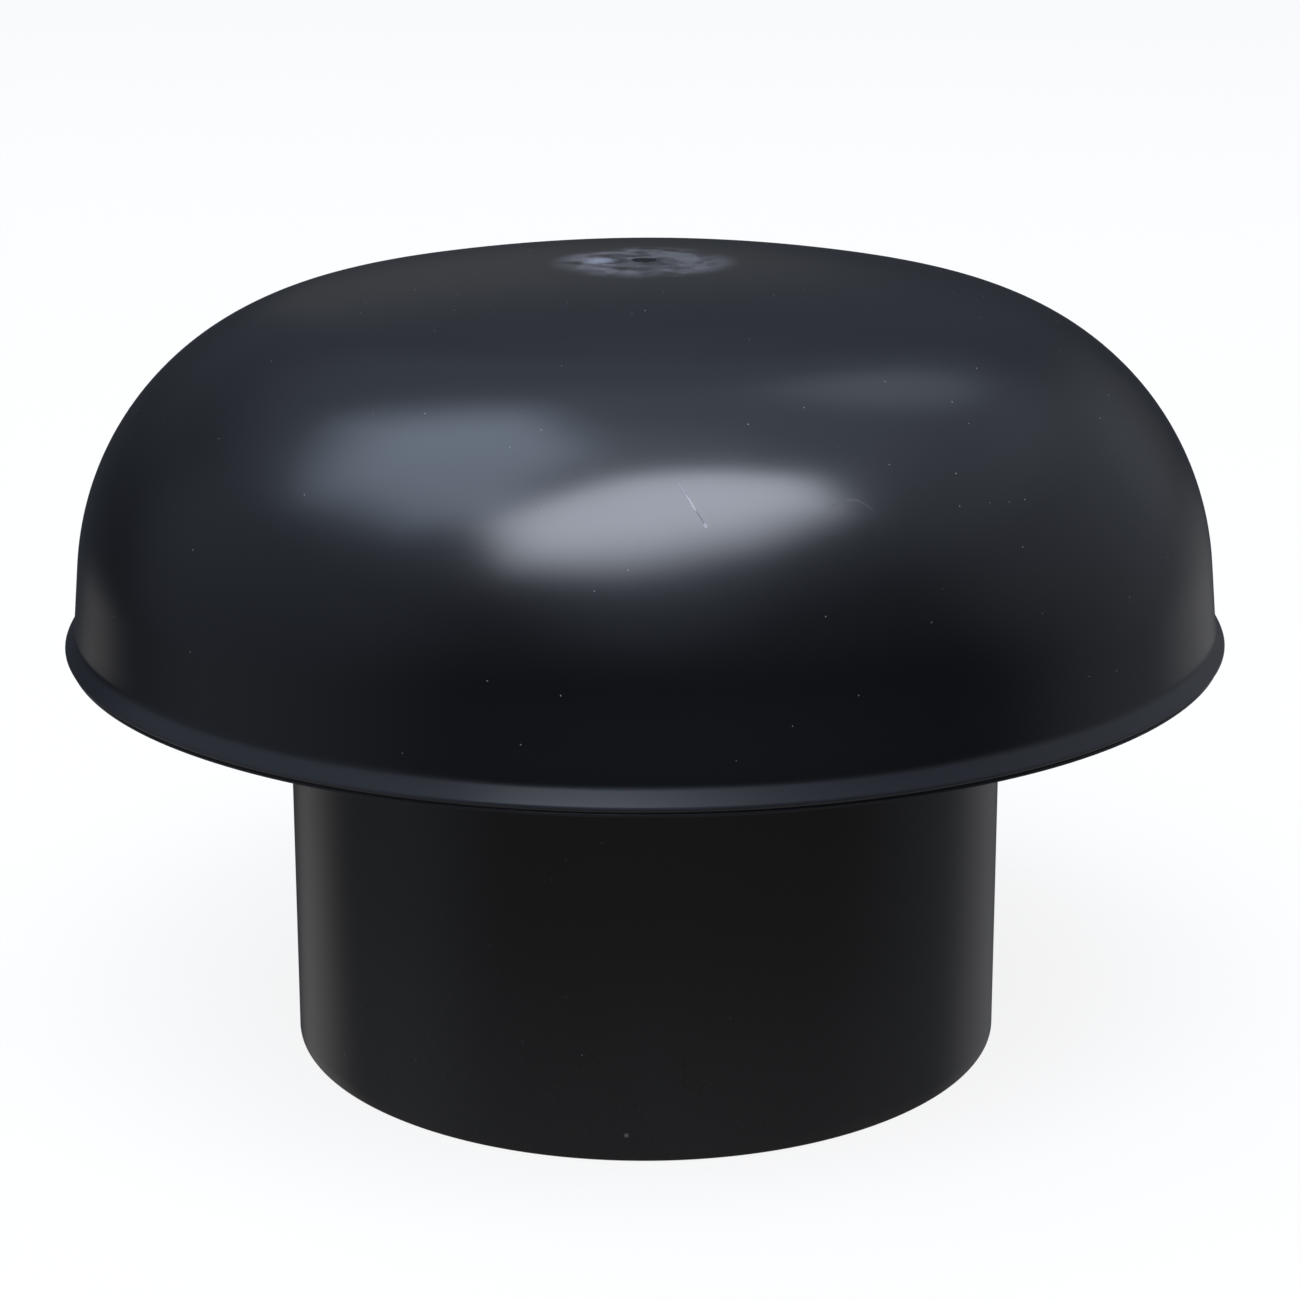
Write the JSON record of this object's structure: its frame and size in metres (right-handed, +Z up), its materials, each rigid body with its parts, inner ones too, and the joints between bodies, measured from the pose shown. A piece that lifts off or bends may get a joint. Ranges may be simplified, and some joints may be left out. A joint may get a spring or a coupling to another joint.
{
  "type": "roof vent cover",
  "caption": "Mushroom cowl that covers a roof vent pipe: a domed hood with a beaded rim on a plain round collar, with an insect screen inside.",
  "frame": {"origin": "centre of the collar's foot, at its lower edge", "axes": "+Z up along the pipe's axis, with the hood on top; the lugs, posts and screws lie on the diagonals between X and Y"},
  "size_m": [0.187, 0.187, 0.128],
  "materials": {
    "hood_plastic": "satin black moulded plastic with fine scuffs and a pale gate mark at the crown",
    "collar_plastic": "satin black moulded plastic, slightly duller than the hood",
    "screen_plastic": "matt black moulded plastic",
    "mesh_steel": "woven stainless wire",
    "screw_steel": "plain stainless steel",
    "foam_rubber": "closed-cell foam rubber"
  },
  "bodies": {
    "collar_body": {"collar": "collar_plastic", "stop_gasket": "foam_rubber", "hood_screw_1": "screw_steel", "hood_screw_2": "screw_steel", "hood_screw_3": "screw_steel", "hood_screw_4": "screw_steel", "screw_washer_1": "screw_steel", "screw_washer_2": "screw_steel", "screw_washer_3": "screw_steel", "screw_washer_4": "screw_steel"},
    "hood_body": {"hood": "hood_plastic"},
    "screen_body": {"screen_frame": "screen_plastic", "screen_mesh": "mesh_steel", "screen_retainer": "screen_plastic"}
  },
  "joints": [
    {"name": "hood_lift", "type": "slide", "parent": "collar_body", "child": "hood_body", "axis": [0, 0, 1], "range_m": [0, 0.06]},
    {"name": "screen_lift", "type": "slide", "parent": "collar_body", "child": "screen_body", "axis": [0, 0, 1], "range_m": [0, 0.01]}
  ]
}
